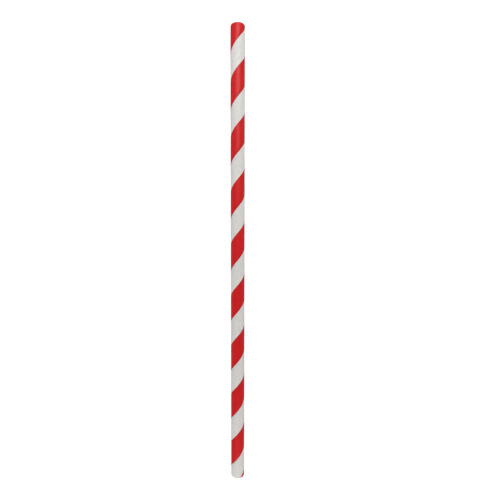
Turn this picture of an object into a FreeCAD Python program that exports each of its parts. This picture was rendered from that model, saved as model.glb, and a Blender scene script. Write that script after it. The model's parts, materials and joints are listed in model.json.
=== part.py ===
import FreeCAD, Part
import math
import os

# Paper drinking straw, lying on its side as it comes to rest.
# Strips of paper are wound in a spiral over each other and glued into one stiff tube,
# which a knife cuts square to length.
# The long axis runs along Y, and the origin is under the middle of the straw,
# on the surface that it lies on.

# Driving dimensions, in millimetres
STRAW_LENGTH = 197.0
OUTER_DIAMETER = 6.0
PAPER_THICKNESS = 0.13
GLUE_THICKNESS = 0.005
PAPER_PLIES = 3
CUT_EDGE_ROUNDING = 0.05
RESTING_FLAT_DEPTH = 0.02

# Sizes that follow from them
WALL = PAPER_PLIES * PAPER_THICKNESS + (PAPER_PLIES - 1) * GLUE_THICKNESS
OUTER_RADIUS = OUTER_DIAMETER / 2
BORE_RADIUS = OUTER_RADIUS - WALL
TOP_END = STRAW_LENGTH / 2
BOTTOM_END = -STRAW_LENGTH / 2
AXIS_HEIGHT = OUTER_RADIUS - RESTING_FLAT_DEPTH
RESTING_FLAT_WIDTH = 2 * math.sqrt(OUTER_RADIUS**2 - AXIS_HEIGHT**2)

Z_AXIS = FreeCAD.Vector(0, 0, 1)


def round_rod(radius, low_end, high_end):
    """A round rod about Z between two heights."""
    return Part.makeCylinder(radius, high_end - low_end, Z_AXIS * low_end, Z_AXIS)


def wound_wall():
    """The glued wall of the tube about Z, with an open bore from end to end."""
    body = round_rod(OUTER_RADIUS, BOTTOM_END, TOP_END)
    bore = round_rod(BORE_RADIUS, BOTTOM_END - WALL, TOP_END + WALL)
    return body.cut(bore)


def soften_cut_edges(tube):
    """Round the four rims, where the knife leaves the paper slightly pressed in."""
    rims = [edge for edge in tube.Edges if isinstance(edge.Curve, Part.Circle)]
    return tube.makeFillet(min(CUT_EDGE_ROUNDING, WALL / 3), rims)


def laid_down(tube):
    """Lay a tube that stands along Z on its side: Z goes to Y, and X goes to Z."""
    turn = FreeCAD.Rotation(FreeCAD.Vector(1, 1, 1), -120)
    lift = Z_AXIS * AXIS_HEIGHT
    tube.Placement = FreeCAD.Placement(lift, turn).multiply(tube.Placement)
    return tube


def press_resting_flat(tube):
    """Take off the sliver below the resting surface, where the paper lies pressed flat."""
    sliver = Part.makeBox(
        2 * RESTING_FLAT_WIDTH,
        STRAW_LENGTH + 2 * WALL,
        WALL,
        FreeCAD.Vector(-RESTING_FLAT_WIDTH, BOTTOM_END - WALL, -WALL),
    )
    return tube.cut(sliver)


def main():
    os.makedirs("parts", exist_ok=True)
    straw = press_resting_flat(laid_down(soften_cut_edges(wound_wall()))).Solids[0]
    straw.exportStep("parts/straw_tube.step")
    print(
        "straw_tube: %.2f mm3, valid %s, resting flat %.3f mm wide"
        % (straw.Volume, straw.isValid(), RESTING_FLAT_WIDTH)
    )


main()
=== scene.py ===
import json
import logging
import math
from dataclasses import dataclass
from enum import Enum
from typing import Sequence, Union

import bmesh
import bpy
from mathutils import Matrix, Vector


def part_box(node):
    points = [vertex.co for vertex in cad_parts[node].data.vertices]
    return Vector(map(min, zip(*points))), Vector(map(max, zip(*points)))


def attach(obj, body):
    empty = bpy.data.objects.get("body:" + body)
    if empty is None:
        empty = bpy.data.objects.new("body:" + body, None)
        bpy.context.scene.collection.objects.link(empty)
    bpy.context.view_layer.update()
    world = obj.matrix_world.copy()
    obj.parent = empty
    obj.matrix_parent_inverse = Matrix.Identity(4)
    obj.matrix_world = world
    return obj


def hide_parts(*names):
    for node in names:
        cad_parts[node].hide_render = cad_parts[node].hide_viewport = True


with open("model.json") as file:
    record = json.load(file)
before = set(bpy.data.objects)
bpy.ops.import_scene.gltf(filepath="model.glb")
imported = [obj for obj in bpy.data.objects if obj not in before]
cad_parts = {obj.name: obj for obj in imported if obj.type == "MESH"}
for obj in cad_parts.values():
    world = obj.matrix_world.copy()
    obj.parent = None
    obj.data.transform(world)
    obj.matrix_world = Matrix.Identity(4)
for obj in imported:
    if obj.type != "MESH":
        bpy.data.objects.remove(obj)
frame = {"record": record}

# A paper drinking straw: strips of paper wound in a spiral over each other and glued, with a red stripe
# printed on the outer strip, lying on a grey table made pale by painted light, a glow of its own.

MM = 0.001
FULL_TURN = 2 * math.pi
STRAW_NODE = "straw_tube"
WINDING_MAP = "Winding"
BAKE_MAP = "OFBake"
PHOTO_SIDE = 500

# Distances in metres within which places count as the same.
TOUCHING = 1e-7
ON_CUT = 1e-9

Colour = tuple[float, float, float]
Point = tuple[float, float, float]
Value = Union["Signal", float, int, Sequence[float]]
Ring = list[bmesh.types.BMVert]

log = logging.getLogger("straw")


class Region(Enum):
    """The kinds of paper surface on the straw, by their material's place on the mesh."""

    PRINTED = 0
    RAW = 1
    BORE = 2


class Side(Enum):
    """The two skins of the wall, by the direction in which paper lies from their face."""

    OUTSIDE = -1
    INSIDE = 1


class Signal:
    """An output socket of a material, used as a number or a vector in Python arithmetic."""

    def __init__(self, graph: "Graph", socket: bpy.types.NodeSocket) -> None:
        """Wrap a socket.

        Args:
            graph: the material graph that the socket belongs to.
            socket: the output socket.
        """
        self.graph = graph
        self.socket = socket

    def _math(self, operation: str, *values: Value) -> "Signal":
        """Add one Math node.

        Args:
            operation: the name of the operation.
            values: its inputs in order.

        Returns:
            The result.
        """
        return self.graph.node("ShaderNodeMath", {"operation": operation}, dict(enumerate(values)))

    def __add__(self, other: Value) -> "Signal":
        """self + other."""
        return self._math("ADD", self, other)

    def __radd__(self, other: Value) -> "Signal":
        """other + self."""
        return self._math("ADD", other, self)

    def __sub__(self, other: Value) -> "Signal":
        """self - other."""
        return self._math("SUBTRACT", self, other)

    def __rsub__(self, other: Value) -> "Signal":
        """other - self."""
        return self._math("SUBTRACT", other, self)

    def __mul__(self, other: Value) -> "Signal":
        """self * other."""
        return self._math("MULTIPLY", self, other)

    def __abs__(self) -> "Signal":
        """abs(self)."""
        return self._math("ABSOLUTE", self)

    def step(self, low: Value, high: Value) -> "Signal":
        """A smooth step from 0 to 1.

        Args:
            low: where it leaves 0.
            high: where it reaches 1.

        Returns:
            The step.
        """
        sockets = {"Value": self, "From Min": low, "From Max": high}
        return self.graph.node("ShaderNodeMapRange", {"interpolation_type": "SMOOTHSTEP"}, sockets)

    def hill(self, place: Value, reach: float) -> "Signal":
        """A smooth hill from 0 to 1 and back.

        Args:
            place: where its top is.
            reach: how far from the top it comes down to 0.

        Returns:
            The hill.
        """
        return 1 - abs(self - place).step(0.0, reach)


class Graph:
    """The nodes of one material."""

    def __init__(self, name: str) -> None:
        """Start a material with an empty graph.

        Args:
            name: the material's name.
        """
        self.material = bpy.data.materials.new(name)
        self.material.use_nodes = True
        self.tree = self.material.node_tree
        self.tree.nodes.clear()

    def node(
        self,
        kind: str,
        settings: dict[str, object] | None = None,
        sockets: dict[str | int, Value] | None = None,
        output: str | int | None = 0,
    ) -> Signal | None:
        """Add a node.

        Args:
            kind: the node's type.
            settings: its own properties, which are set first.
            sockets: values or signals for its inputs, by name or place.
            output: the output that is wanted, by name or place, or None for a node that has none.

        Returns:
            That output.
        """
        made = self.tree.nodes.new(kind)
        for name, value in (settings or {}).items():
            setattr(made, name, value)
        for place, value in (sockets or {}).items():
            if isinstance(value, Signal):
                self.tree.links.new(value.socket, made.inputs[place])
            else:
                made.inputs[place].default_value = value
        return None if output is None else Signal(self, made.outputs[output])

    def split(self, vector: Signal) -> list[Signal]:
        """The three parts of a vector.

        Args:
            vector: the vector.

        Returns:
            Its X, Y and Z.
        """
        parts = self.node("ShaderNodeSeparateXYZ", sockets={0: vector}).socket.node.outputs
        return [Signal(self, part) for part in parts]

    def length(self, vector: Signal) -> Signal:
        """The length of a vector."""
        return self.node("ShaderNodeVectorMath", {"operation": "LENGTH"}, {0: vector}, output="Value")

    def noise(self, place: Signal, blotch: Point, detail: float = 2.0) -> Signal:
        """Cloudy noise about zero.

        Args:
            place: where on the paper, in metres.
            blotch: the size of a blotch along each axis, in metres.
            detail: how many finer octaves are added.

        Returns:
            The noise, mostly between -0.3 and 0.3.
        """
        grain = [1 / size for size in blotch]
        scaled = self.node("ShaderNodeVectorMath", {"operation": "MULTIPLY"}, {0: place, 1: grain})
        sockets = {"Vector": scaled, "Scale": 1.0, "Detail": detail}
        return self.node("ShaderNodeTexNoise", sockets=sockets) - 0.5

    def blend(self, share: Value, first: Value, second: Value) -> Signal:
        """Mix two colours.

        Args:
            share: how much of the second one is taken, from 0 to 1.
            first: the first colour.
            second: the second colour.

        Returns:
            The mixed colour.
        """
        return self.node("ShaderNodeMix", {"data_type": "RGBA"}, {0: share, 6: first, 7: second}, output=2)

    def scaled(self, colour: Value, factor: Signal) -> Signal:
        """Scale a colour by a number that varies over the surface.

        Args:
            colour: the colour.
            factor: the number, about 1.

        Returns:
            The scaled colour.
        """
        return self.node("ShaderNodeVectorMath", {"operation": "SCALE"}, {0: colour, "Scale": factor})

    def finish(self, colour: Value, roughness: Value, height: Value, index: float) -> bpy.types.Material:
        """Close the graph with a paper shader.

        Args:
            colour: the surface colour.
            roughness: the surface roughness.
            height: the relief, in metres.
            index: the index of refraction of the surface.

        Returns:
            The finished material.
        """
        normal = self.node("ShaderNodeBump", sockets={"Strength": 1.0, "Distance": 1.0, "Height": height})
        sockets = {"Base Color": colour, "Roughness": roughness, "IOR": index, "Normal": normal}
        return self.close(self.node("ShaderNodeBsdfPrincipled", sockets=sockets))

    def close(self, shader: Signal) -> bpy.types.Material:
        """Link a shader to the material's output.

        Args:
            shader: the shader.

        Returns:
            The finished material.
        """
        self.node("ShaderNodeOutputMaterial", sockets={"Surface": shader}, output=None)
        return self.material


@dataclass(frozen=True)
class Winding:
    """How the strips run round the tube. Places along it are counted in leads and turns."""

    radius: float
    length: float
    lead: float = 22.65 * MM
    start_below_end: float = 6.39 * MM

    @property
    def phase(self) -> float:
        """Where the outer strip's border crosses the top line, in leads from the middle."""
        return (self.length / 2 - self.start_below_end) / self.lead

    @property
    def climb(self) -> float:
        """The angle between the strip and a circle round the tube."""
        return math.atan2(self.lead, FULL_TURN * self.radius)

    @property
    def strip_width(self) -> float:
        """The width of the strip of paper."""
        return self.lead * math.cos(self.climb)

    def share_of(self, width: float) -> float:
        """A width across the strip as a share of one lead."""
        return width / self.strip_width


@dataclass(frozen=True)
class PaperStock:
    """White straw paper and how its fibres lie. Colours are linear."""

    colour: Colour = (0.755, 0.738, 0.714)
    roughness: float = 0.56
    index: float = 1.4
    cloud_size: float = 1.1 * MM
    cloud_tone: float = 0.28
    fibre_length: float = 0.9 * MM
    fibre_width: float = 0.13 * MM
    fibre_relief: float = 0.010 * MM
    fibre_tone: float = 0.20
    ripple_size: float = 5.0 * MM
    ripple_relief: float = 0.03 * MM
    hidden_seams: tuple[float, float] = (0.25, 0.75)
    hidden_seam_relief: float = 0.012 * MM
    hidden_seam_reach: float = 0.45 * MM


@dataclass(frozen=True)
class CutPaper:
    """The inside of the paper, bare at the cut ends and in the seams."""

    grain_size: float = 0.11 * MM
    grain_tone: float = 0.12
    grain_relief: float = 0.012 * MM
    roughness: float = 0.8
    roughness_change: float = 0.1
    glue_reach: float = 0.02 * MM
    glue_tone: float = 0.82


@dataclass(frozen=True)
class StripeInk:
    """The red printing ink. Colours are linear."""

    colour: Colour = (0.675, 0.0115, 0.0130)
    edge_colour: Colour = (0.580, 0.005, 0.007)
    share_of_lead: float = 0.5205
    start_from_border: float = 0.10 * MM
    roughness: float = 0.45
    edge_softness: float = 0.05 * MM
    edge_wander: float = 0.10 * MM
    wander_size: float = 0.7 * MM
    edge_band: float = 0.45 * MM
    streak_length: float = 9.0 * MM
    streak_width: float = 0.5 * MM
    streak_tone: float = 0.12
    thickness: float = 0.003 * MM


@dataclass(frozen=True)
class PaperFinish:
    """The finishes of the straw's three kinds of surface."""

    winding: Winding
    axis_height: float
    glue_lines: tuple[float, float]
    stock: PaperStock = PaperStock()
    cut: CutPaper = CutPaper()
    ink: StripeInk = StripeInk()

    def _strip_place(self, graph: Graph) -> tuple[Signal, Signal]:
        """Where a point lies on its strip of paper.

        Args:
            graph: the material graph.

        Returns:
            The place along and across the strip in metres, as a vector, and the place across it
            as a share of its width.
        """
        wound = self.winding
        turns, leads, _ = graph.split(graph.node("ShaderNodeUVMap", {"uv_map": WINDING_MAP}))
        across = leads - turns - wound.phase
        round_part = FULL_TURN * wound.radius * math.cos(wound.climb)
        along = turns * round_part + leads * (wound.lead * math.sin(wound.climb))
        sockets = {0: along, 1: across * wound.strip_width, 2: 0.0}
        return graph.node("ShaderNodeCombineXYZ", sockets=sockets), across

    def _fibres(self, graph: Graph, place: Signal) -> tuple[Signal, Signal]:
        """The paper's fibres.

        Args:
            graph: the material graph.
            place: where on the paper, in metres.

        Returns:
            Their tone and their relief in metres, both about zero.
        """
        stock = self.stock
        clouds = graph.noise(place, (stock.cloud_size, stock.cloud_size, 1.0), 3.0)
        fibres = graph.noise(place, (stock.fibre_length, stock.fibre_width, 1.0), 3.0)
        ripples = graph.noise(place, (stock.ripple_size, stock.ripple_size, 1.0), 1.0)
        tone = clouds * stock.cloud_tone + fibres * stock.fibre_tone
        return tone, fibres * stock.fibre_relief + ripples * stock.ripple_relief

    def printed(self) -> bpy.types.Material:
        """The outer face, with its stripe.

        Returns:
            The material.
        """
        graph = Graph("printed_paper")
        wound, stock, ink = self.winding, self.stock, self.ink
        place, across = self._strip_place(graph)
        tone, relief = self._fibres(graph, place)
        wander = graph.noise(place, (ink.wander_size, ink.wander_size, 1.0)) * wound.share_of(ink.edge_wander)
        half_stripe = ink.share_of_lead / 2
        stripe_middle = wound.share_of(ink.start_from_border) + half_stripe
        beyond = abs(across + wander - stripe_middle) - half_stripe
        soft = wound.share_of(ink.edge_softness)
        inked = 1 - beyond.step(-soft, soft)
        band = wound.share_of(ink.edge_band)
        red = graph.blend(beyond.hill(-band / 2, band), (*ink.colour, 1), (*ink.edge_colour, 1))
        colour = graph.blend(inked, (*stock.colour, 1), red)
        streaks = graph.noise(place, (ink.streak_length, ink.streak_width, 1.0))
        shade = 1 + tone + streaks * inked * ink.streak_tone
        reach = wound.share_of(stock.hidden_seam_reach)
        first_seam, second_seam = (across.hill(seam, reach) for seam in stock.hidden_seams)
        dent = (first_seam + second_seam) * stock.hidden_seam_relief
        height = relief + inked * ink.thickness - dent
        roughness = stock.roughness + inked * (ink.roughness - stock.roughness) + tone
        return graph.finish(graph.scaled(colour, shade), roughness, height, stock.index)

    def bore(self) -> bpy.types.Material:
        """The inner face, which is plain paper.

        Returns:
            The material.
        """
        graph = Graph("bore_paper")
        place, _ = self._strip_place(graph)
        tone, relief = self._fibres(graph, place)
        colour = graph.scaled(self.stock.colour, 1 + tone)
        return graph.finish(colour, self.stock.roughness + tone, relief, self.stock.index)

    def raw(self) -> bpy.types.Material:
        """The cut edges, with the glue lines between the strips.

        Returns:
            The material.
        """
        graph = Graph("raw_paper")
        stock, cut = self.stock, self.cut
        place = graph.node("ShaderNodeTexCoord", output="Object")
        grain = graph.noise(place, (cut.grain_size, cut.grain_size, cut.grain_size), 3.0)
        x, _, z = graph.split(place)
        from_axis = graph.node("ShaderNodeCombineXYZ", sockets={0: x, 1: z - self.axis_height, 2: 0.0})
        spread = graph.length(from_axis)
        outer_line, inner_line = (spread.hill(line, cut.glue_reach) for line in self.glue_lines)
        glued = tuple(cut.glue_tone * part for part in stock.colour)
        bare = graph.blend(outer_line + inner_line, (*stock.colour, 1), (*glued, 1))
        colour = graph.scaled(bare, 1 + grain * cut.grain_tone)
        roughness = cut.roughness + grain * cut.roughness_change
        return graph.finish(colour, roughness, grain * cut.grain_relief, stock.index)


@dataclass(frozen=True)
class BakeSheet:
    """How the straw's faces are laid on its square bake map. Sizes are real sizes on the straw."""

    length: float
    circumference: float
    rings: float
    spans: int = 3
    side: float = 70.0 * MM
    margin: float = 0.3 * MM
    bore_row: float = 1.5 * MM
    ring_offset: float = 14.0 * MM

    @property
    def span_length(self) -> float:
        """The length of straw that one row shows."""
        return self.length / self.spans

    def _row(self, side: Side, span: int) -> tuple[float, float]:
        """Where the row of one span lies.

        Args:
            side: the skin.
            span: the span's number, from the bottom end.

        Returns:
            The row's start and its height.
        """
        outside_row = self.circumference + 2 * self.margin
        if side is Side.OUTSIDE:
            return self.margin + span * outside_row, self.circumference
        above = self.margin + self.spans * outside_row
        return above + span * (self.bore_row + 2 * self.margin), self.bore_row

    def skin_place(self, side: Side, middle: tuple[float, float], turns: float, y: float) -> Vector:
        """Where a corner of a skin's face lies.

        Args:
            side: the skin.
            middle: the turns and the height along the straw at the face's middle.
            turns: the corner's turns.
            y: the corner's height along the straw.

        Returns:
            Its place on the map.
        """
        span = min(max(int((middle[1] + self.length / 2) / self.span_length), 0), self.spans - 1)
        start, height = self._row(side, span)
        along = (self.side - self.span_length) / 2 + y + self.length / 2 - span * self.span_length
        return Vector((along, start + (turns - math.floor(middle[0])) * height)) / self.side

    def ring_place(self, end: int, x: float, z: float) -> Vector:
        """Where a corner of a cut end lies.

        Args:
            end: 1 for the top end, -1 for the bottom end.
            x: the corner's place across the straw.
            z: its height above the axis.

        Returns:
            Its place on the map.
        """
        centre = Vector((self.side / 2 + end * self.ring_offset, self.side - self.rings - self.margin))
        return (centre + Vector((x, z))) / self.side


@dataclass
class StripedStraw:
    """The whole straw: its printed outer skin, plain bore, open seams and cut ends."""

    length: float
    outer_radius: float
    bore_radius: float
    axis_height: float
    plies: int = 3
    glue: float = 0.005 * MM
    seam_gap: float = 0.16 * MM
    inner_seam_offset: float = 0.5
    slit_rounding: float = 0.02 * MM
    slit_drop: float = 0.012 * MM
    cut_rounding: float = 0.05 * MM
    rim_rows: tuple[float, ...] = (0.14, 0.5, 1.0)
    glue_recess: float = 0.015 * MM
    columns: int = 96
    strip_rows: int = 12
    gap_map_shares: tuple[float, float] = (0.4, 0.8)
    end_facing: float = 0.6
    crease: float = math.radians(40)

    @classmethod
    def from_frame(cls) -> "StripedStraw":
        """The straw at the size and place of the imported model.

        Returns:
            The straw, not yet built.
        """
        low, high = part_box(STRAW_NODE)
        outer, bore = mount("outer_wall"), mount("bore")
        radii = (outer["dims"]["r_mm"] * MM, bore["dims"]["r_mm"] * MM)
        return cls(high[1] - low[1], *radii, axis_height=outer["pos_m"][2])

    def __post_init__(self) -> None:
        """Work out what follows from the sizes."""
        self.winding = Winding(self.outer_radius, self.length)
        wall = self.outer_radius - self.bore_radius
        self.ply = (wall - (self.plies - 1) * self.glue) / self.plies
        self.mid_wall = self.outer_radius - wall / 2
        self.sheet = BakeSheet(self.length, FULL_TURN * self.outer_radius, self.outer_radius)

    @property
    def glue_lines(self) -> tuple[float, float]:
        """The radii of the two glue lines between the three strips."""
        reach = self.ply + self.glue / 2
        return self.outer_radius - reach, self.bore_radius + reach

    def _face_radius(self, side: Side) -> float:
        """The radius of a skin's own face."""
        return self.outer_radius if side is Side.OUTSIDE else self.bore_radius

    def _spread(self, place: Vector) -> float:
        """How far a place lies from the straw's axis."""
        return math.hypot(place.x, place.z - self.axis_height)

    def _side_of(self, place: Vector) -> Side:
        """The skin that a place is nearer to."""
        return Side.OUTSIDE if self._spread(place) > self.mid_wall else Side.INSIDE

    def _around(self, vert: bmesh.types.BMVert) -> float:
        """How far round the tube a vertex lies from the top line, from 0 to a full turn."""
        return math.atan2(vert.co.x, vert.co.z - self.axis_height) % FULL_TURN

    def _wall_place(self, radius: float, turns: float, y: float) -> Point:
        """A place on a circle round the axis, at some turns from the top line."""
        angle = FULL_TURN * turns
        return radius * math.sin(angle), y, self.axis_height + radius * math.cos(angle)

    def _profile(self, side: Side) -> list[tuple[float, float, float, Region]]:
        """The rows of one strip, from the middle of one seam to the middle of the next.

        Args:
            side: the skin.

        Returns:
            For each row its place across the strip as a share of a lead, its radius, its place
            across the strip on the maps, and the region of the faces that follow it.
        """
        gap = self.winding.share_of(self.seam_gap) / 2
        edge = gap + self.winding.share_of(self.slit_rounding)
        face = self._face_radius(side)
        floor = face + side.value * self.ply
        shoulder = face + side.value * self.slit_drop
        skin = Region.PRINTED if side is Side.OUTSIDE else Region.BORE
        on_floor, on_wall = (share * gap for share in self.gap_map_shares)
        rows = [(0.0, floor, 0.0, Region.RAW), (gap, floor, on_floor, Region.RAW)]
        rows.append((gap, shoulder, on_wall, skin))
        for step in range(self.strip_rows + 1):
            share = edge + (1 - 2 * edge) * step / self.strip_rows
            rows.append((share, face, share, skin))
        rows.append((1 - gap, shoulder, 1 - on_wall, Region.RAW))
        rows.append((1 - gap, floor, 1 - on_floor, Region.RAW))
        return rows

    def _wind_skin(self, mesh: bmesh.types.BMesh, side: Side) -> None:
        """Wind one skin, longer than the straw at both ends.

        Args:
            mesh: the mesh that takes it.
            side: the skin.
        """
        layer = mesh.loops.layers.uv[WINDING_MAP]
        lead = self.winding.lead
        phase = self.winding.phase - (0.0 if side is Side.OUTSIDE else self.inner_seam_offset)
        reach = self.length / 2 / lead
        first = math.floor((-reach - phase - 1) * self.columns) - 1
        last = math.ceil((reach - phase) * self.columns) + 1
        rows = self._profile(side)
        made: dict[tuple[int, int], bmesh.types.BMVert] = {}

        def vertex(column: int, row: int) -> bmesh.types.BMVert:
            """The vertex at a corner, shared by neighbouring winds at the seam.

            Args:
                column: the corner's column round the tube.
                row: its row across the strip.

            Returns:
                The vertex, made on the first call.
            """
            if row == len(rows):
                column, row = column + self.columns, 0
            if (column, row) not in made:
                share, radius, _, _ = rows[row]
                turns = column / self.columns
                place = self._wall_place(radius, turns, lead * (share + phase + turns))
                made[column, row] = mesh.verts.new(place)
            return made[column, row]

        def map_place(column: int, row: int) -> tuple[float, float]:
            """The place of a corner on the winding map, kept on this wind of the strip.

            Args:
                column: the corner's column round the tube.
                row: its row across the strip.

            Returns:
                Its turns and leads.
            """
            share = 1.0 if row == len(rows) else rows[row][2]
            turns = column / self.columns
            return turns, share + phase + turns

        for column in range(first, last):
            for row, (_, _, _, region) in enumerate(rows):
                corners = [(column, row), (column + 1, row), (column + 1, row + 1), (column, row + 1)]
                face = mesh.faces.new([vertex(*corner) for corner in corners])
                face.material_index = region.value
                for loop, corner in zip(face.loops, corners):
                    loop[layer].uv = map_place(*corner)

    def _slice(self, mesh: bmesh.types.BMesh, y: float, drop_beyond: bool) -> None:
        """Cut the mesh at a height along the straw.

        Args:
            mesh: the mesh.
            y: where the cut is.
            drop_beyond: whether what lies beyond it goes. If not, the cut only adds its edges.
        """
        outwards = 1 if y > 0 else -1
        bmesh.ops.bisect_plane(
            mesh,
            geom=[*mesh.verts, *mesh.edges, *mesh.faces],
            dist=ON_CUT,
            plane_co=(0, y, 0),
            plane_no=(0, outwards, 0),
            clear_outer=drop_beyond,
        )

    def _cut_to_length(self, mesh: bmesh.types.BMesh) -> None:
        """Cut both ends square, and add edges for their rounded rims and for the map's spans.

        Args:
            mesh: the mesh.
        """
        for end in (-1, 1):
            self._slice(mesh, end * self.length / 2, drop_beyond=True)
            for row in self.rim_rows:
                self._slice(mesh, end * (self.length / 2 - row * self.cut_rounding), drop_beyond=False)
        for step in range(1, self.sheet.spans):
            self._slice(mesh, step * self.sheet.span_length - self.length / 2, drop_beyond=False)

    def _press(self, mesh: bmesh.types.BMesh) -> None:
        """Press both skins' rims towards the wall, and the underside flat on the table.

        Args:
            mesh: the mesh.
        """
        for vert in mesh.verts:
            depth = self.length / 2 - abs(vert.co.y)
            side = self._side_of(vert.co)
            on_face = abs(self._spread(vert.co) - self._face_radius(side)) < self.ply / 2
            if on_face and depth < self.cut_rounding:
                left = self.cut_rounding - depth
                inset = self.cut_rounding - math.sqrt(max(self.cut_rounding**2 - left**2, 0))
                out = Vector((vert.co.x, 0, vert.co.z - self.axis_height)).normalized()
                vert.co += out * inset * side.value
            vert.co.z = max(vert.co.z, 0.0)

    def _ring(self, mesh: bmesh.types.BMesh, radius: float, y: float) -> Ring:
        """A ring of new vertices.

        Args:
            mesh: the mesh that takes it.
            radius: its radius.
            y: its height along the straw.

        Returns:
            Its vertices in order round the tube.
        """
        turns = [column / self.columns for column in range(self.columns)]
        return [mesh.verts.new(self._wall_place(radius, turn, y)) for turn in turns]

    def _rim(self, edges: list[bmesh.types.BMEdge]) -> Ring:
        """Walk along the open edges of one rim.

        Args:
            edges: the rim's edges, in any order.

        Returns:
            Its vertices in order round the tube, as a ring has them.
        """
        beside: dict[bmesh.types.BMVert, Ring] = {}
        for edge in edges:
            for vert in edge.verts:
                beside.setdefault(vert, []).append(edge.other_vert(vert))
        walk = [min(beside, key=self._around)]
        walk.append(beside[walk[0]][0])
        while len(walk) < len(beside):
            walk.append(next(vert for vert in beside[walk[-1]] if vert is not walk[-2]))
        turned = sum(
            first.co.z * second.co.x - first.co.x * second.co.z
            for first, second in zip(walk, walk[1:] + walk[:1])
        )
        return walk if turned > 0 else walk[:1] + walk[:0:-1]

    def _join(self, mesh: bmesh.types.BMesh, rings: tuple[Ring, Ring]) -> None:
        """Fill the band between two rings with triangles, going round both at once.

        Args:
            mesh: the mesh.
            rings: the vertices of the two rings in order.
        """
        places = [0, 0]
        ahead = [[self._around(vert) for vert in ring] for ring in rings]
        for angles in ahead:
            angles.append(angles[0] + FULL_TURN)
        while any(place < len(ring) for place, ring in zip(places, rings)):
            left = [which for which in (0, 1) if places[which] < len(rings[which])]
            step = min(left, key=lambda which: ahead[which][places[which] + 1])
            now = [ring[place % len(ring)] for place, ring in zip(places, rings)]
            places[step] += 1
            face = mesh.faces.new([*now, rings[step][places[step] % len(rings[step])]])
            face.material_index = Region.RAW.value

    def _close_end(self, mesh: bmesh.types.BMesh, end: int) -> None:
        """Fill one cut end, with a fine recess along each glue line.

        Args:
            mesh: the mesh.
            end: 1 for the top end, -1 for the bottom end.
        """
        y = end * self.length / 2
        rims: dict[Side, list[bmesh.types.BMEdge]] = {side: [] for side in Side}
        for edge in mesh.edges:
            centre = (edge.verts[0].co + edge.verts[1].co) / 2
            if edge.is_boundary and abs(centre.y - y) < TOUCHING:
                rims[self._side_of(centre)].append(edge)
        rings = [self._rim(rims[Side.OUTSIDE])]
        recess = [(step * self.glue_recess, deep) for step, deep in enumerate((0.0, self.glue_recess, 0.0))]
        for glue_line, into_middle in zip(self.glue_lines, (-1, 1)):
            for reach, deep in recess[::-into_middle]:
                radius = glue_line + into_middle * (self.glue + reach)
                rings.append(self._ring(mesh, radius, y - end * deep))
        rings.append(self._rim(rims[Side.INSIDE]))
        for pair in zip(rings, rings[1:]):
            self._join(mesh, pair)

    def _lay_bake_map(self, mesh: bmesh.types.BMesh) -> None:
        """Give every face its place on the bake map.

        Args:
            mesh: the mesh.
        """
        winding = mesh.loops.layers.uv[WINDING_MAP]
        bake = mesh.loops.layers.uv[BAKE_MAP]
        for face in mesh.faces:
            centre = face.calc_center_median()
            at_end = abs(centre.y) > self.length / 2 - self.glue_recess - TOUCHING
            faces_out = abs(face.normal.y) > self.end_facing
            if at_end and faces_out and face.material_index == Region.RAW.value:
                end = 1 if centre.y > 0 else -1
                for loop in face.loops:
                    place = loop.vert.co
                    loop[bake].uv = self.sheet.ring_place(end, place.x, place.z - self.axis_height)
                continue
            side = self._side_of(centre)
            places = [loop[winding].uv.copy() for loop in face.loops]
            middle = (sum(place.x for place in places) / len(places), centre.y)
            for loop, (turns, leads) in zip(face.loops, places):
                loop[bake].uv = self.sheet.skin_place(side, middle, turns, leads * self.winding.lead)

    def build(self) -> bpy.types.Object:
        """Wind, cut and close the straw.

        Returns:
            The straw, without its finish.
        """
        mesh = bmesh.new()
        mesh.loops.layers.uv.new(WINDING_MAP)
        mesh.loops.layers.uv.new(BAKE_MAP)
        for side in Side:
            self._wind_skin(mesh, side)
        self._cut_to_length(mesh)
        for end in (-1, 1):
            self._close_end(mesh, end)
        self._press(mesh)
        bmesh.ops.recalc_face_normals(mesh, faces=mesh.faces)
        self._lay_bake_map(mesh)
        for face in mesh.faces:
            face.smooth = True
        data = bpy.data.meshes.new("striped_straw")
        mesh.to_mesh(data)
        mesh.free()
        data.set_sharp_from_angle(angle=self.crease)
        straw = bpy.data.objects.new("striped_straw", data)
        bpy.context.scene.collection.objects.link(straw)
        return straw

    def dress(self, straw: bpy.types.Object) -> None:
        """Give the straw its finishes and its place in the frame.

        Args:
            straw: the built straw.
        """
        finish = PaperFinish(self.winding, self.axis_height, self.glue_lines)
        made = {Region.PRINTED: finish.printed, Region.RAW: finish.raw, Region.BORE: finish.bore}
        for region in Region:
            straw.data.materials.append(made[region]())
        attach(straw, "root")
        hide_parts(STRAW_NODE)


@dataclass(frozen=True)
class Softbox:
    """One square area light that the camera doesn't see, aimed at the middle of the straw."""

    name: str
    place: Point
    side: float
    power: float
    glints: bool = False

    def hang(self) -> None:
        """Put the light in the scene."""
        data = bpy.data.lights.new(self.name, "AREA")
        data.shape = "SQUARE"
        data.size = self.side
        data.energy = self.power
        lamp = bpy.data.objects.new(self.name, data)
        lamp.location = self.place
        lamp.rotation_euler = Vector(self.place).to_track_quat("Z", "Y").to_euler()
        lamp.visible_camera = False
        lamp.visible_glossy = self.glints
        bpy.context.scene.collection.objects.link(lamp)


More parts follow.
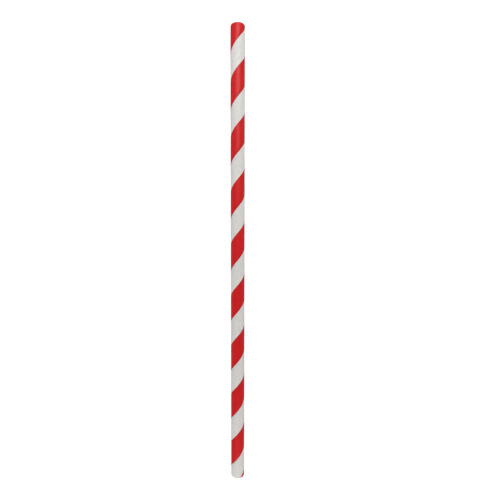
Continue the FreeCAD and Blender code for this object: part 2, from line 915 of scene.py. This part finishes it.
@dataclass(frozen=True)
class Studio:
    """The table with its painted glow, the soft light and the camera."""

    sky: float = 0.17
    table_colour: Colour = (0.4, 0.4, 0.4)
    table_roughness: float = 0.9
    table_glow: float = 0.82
    far_glow: float = 1.0
    glow_rises: tuple[float, float] = (0.12, 0.38)
    table_side: float = 6.0
    backdrop_radius: float = 2.9
    softboxes: tuple[Softbox, ...] = (
        Softbox("main_softbox", (0.02, 0.22, 0.25), 0.24, 0.73, glints=True),
        Softbox("end_softbox", (0.0, -0.25, 0.10), 0.12, 0.265),
        Softbox("left_softbox", (-0.5, 0.1, 0.5), 0.3, 0.60),
        Softbox("right_softbox", (0.5, 0.1, 0.5), 0.3, 0.29),
    )
    camera_above_axis: float = 137.3 * MM
    camera_y: float = 17.48 * MM
    camera_lean: float = math.radians(-4.84)
    focal_pixels: float = 314.86
    straw_column: float = 237.70
    sensor: float = 36.0
    clip_start: float = 10 * MM

    def _steady(self, material: bpy.types.Material) -> bpy.types.Material:
        """Keep a wide glowing surface from being sampled as a lamp.

        Args:
            material: the surface's material.

        Returns:
            The same material.
        """
        material.cycles.emission_sampling = "NONE"
        return material

    def _table(self) -> None:
        """Lay the table, a grey surface made pale by painted light: it glows, and glows more far from the
        straw, where the softboxes fade.
        """
        graph = Graph("glowing_table")
        from_middle = graph.length(graph.node("ShaderNodeTexCoord", output="Object"))
        near, far = ((glow, glow, glow, 1) for glow in (self.table_glow, self.far_glow))
        sockets = {
            "Base Color": (*self.table_colour, 1),
            "Roughness": self.table_roughness,
            # painted light: this emission makes the grey table look pale and rises to full white far from the
            # straw, where the softboxes' light fades
            "Emission Color": graph.blend(from_middle.step(*self.glow_rises), near, far),
            "Emission Strength": 1.0,
        }
        half = self.table_side / 2
        data = bpy.data.meshes.new("table")
        corners = [(-half, -half, 0), (half, -half, 0), (half, half, 0), (-half, half, 0)]
        data.from_pydata(corners, [], [(0, 1, 2, 3)])
        shader = graph.node("ShaderNodeBsdfPrincipled", sockets=sockets)
        data.materials.append(self._steady(graph.close(shader)))
        table = bpy.data.objects.new("table", data)
        table.visible_glossy = False
        bpy.context.scene.collection.objects.link(table)

    def _backdrop(self) -> None:
        """Put a white dome round the table, which only the camera sees."""
        graph = Graph("white_backdrop")
        shader = graph.node("ShaderNodeEmission", sockets={"Color": (1, 1, 1, 1), "Strength": 1.0})
        mesh = bmesh.new()
        bmesh.ops.create_icosphere(mesh, subdivisions=4, radius=self.backdrop_radius)
        data = bpy.data.meshes.new("backdrop")
        mesh.to_mesh(data)
        mesh.free()
        data.materials.append(self._steady(graph.close(shader)))
        dome = bpy.data.objects.new("backdrop", data)
        for ray in ("diffuse", "glossy", "transmission", "volume_scatter", "shadow"):
            setattr(dome, "visible_" + ray, False)
        bpy.context.scene.collection.objects.link(dome)

    def _sky(self) -> None:
        """Fill the room with even white light."""
        world = bpy.data.worlds.new("studio")
        world.use_nodes = True
        back = world.node_tree.nodes["Background"]
        back.inputs["Color"].default_value = (1, 1, 1, 1)
        back.inputs["Strength"].default_value = self.sky
        world.cycles_visibility.glossy = False
        bpy.context.scene.world = world

    def _camera(self, axis_height: float) -> None:
        """Look down on the straw as the photograph does.

        Args:
            axis_height: the height of the straw's axis.
        """
        data = bpy.data.cameras.new("camera")
        data.sensor_width = self.sensor
        data.lens = self.focal_pixels * self.sensor / PHOTO_SIDE
        data.shift_x = (PHOTO_SIDE / 2 - self.straw_column) / PHOTO_SIDE
        data.clip_start = self.clip_start
        camera = bpy.data.objects.new("camera", data)
        camera.location = (0.0, self.camera_y, axis_height + self.camera_above_axis)
        camera.rotation_euler = (self.camera_lean, 0.0, 0.0)
        bpy.context.scene.collection.objects.link(camera)
        bpy.context.scene.camera = camera

    def set_up(self, axis_height: float) -> None:
        """Build the whole studio.

        Args:
            axis_height: the height of the straw's axis.
        """
        self._table()
        self._backdrop()
        self._sky()
        for softbox in self.softboxes:
            softbox.hang()
        self._camera(axis_height)
        bpy.context.scene.view_settings.view_transform = "Standard"


def mount(name: str) -> dict:
    """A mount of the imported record.

    Args:
        name: the mount's name.

    Returns:
        The mount.
    """
    return next(row for row in frame["record"]["mounts"] if row["name"] == name)


def main(studio: Studio = Studio()) -> None:
    """Build the straw and its studio, and log the straw's face count and length and the number of softboxes.

    Args:
        studio: the studio to show it in.
    """
    logging.basicConfig(level=logging.INFO, format="%(name)s: %(message)s")
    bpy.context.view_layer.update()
    straw = StripedStraw.from_frame()
    piece = straw.build()
    straw.dress(piece)
    log.info("%s: %d faces, %.1f mm long", piece.name, len(piece.data.polygons), straw.length / MM)
    studio.set_up(straw.axis_height)
    log.info("studio: %d softboxes", len(studio.softboxes))


if __name__ == "__main__":
    main()
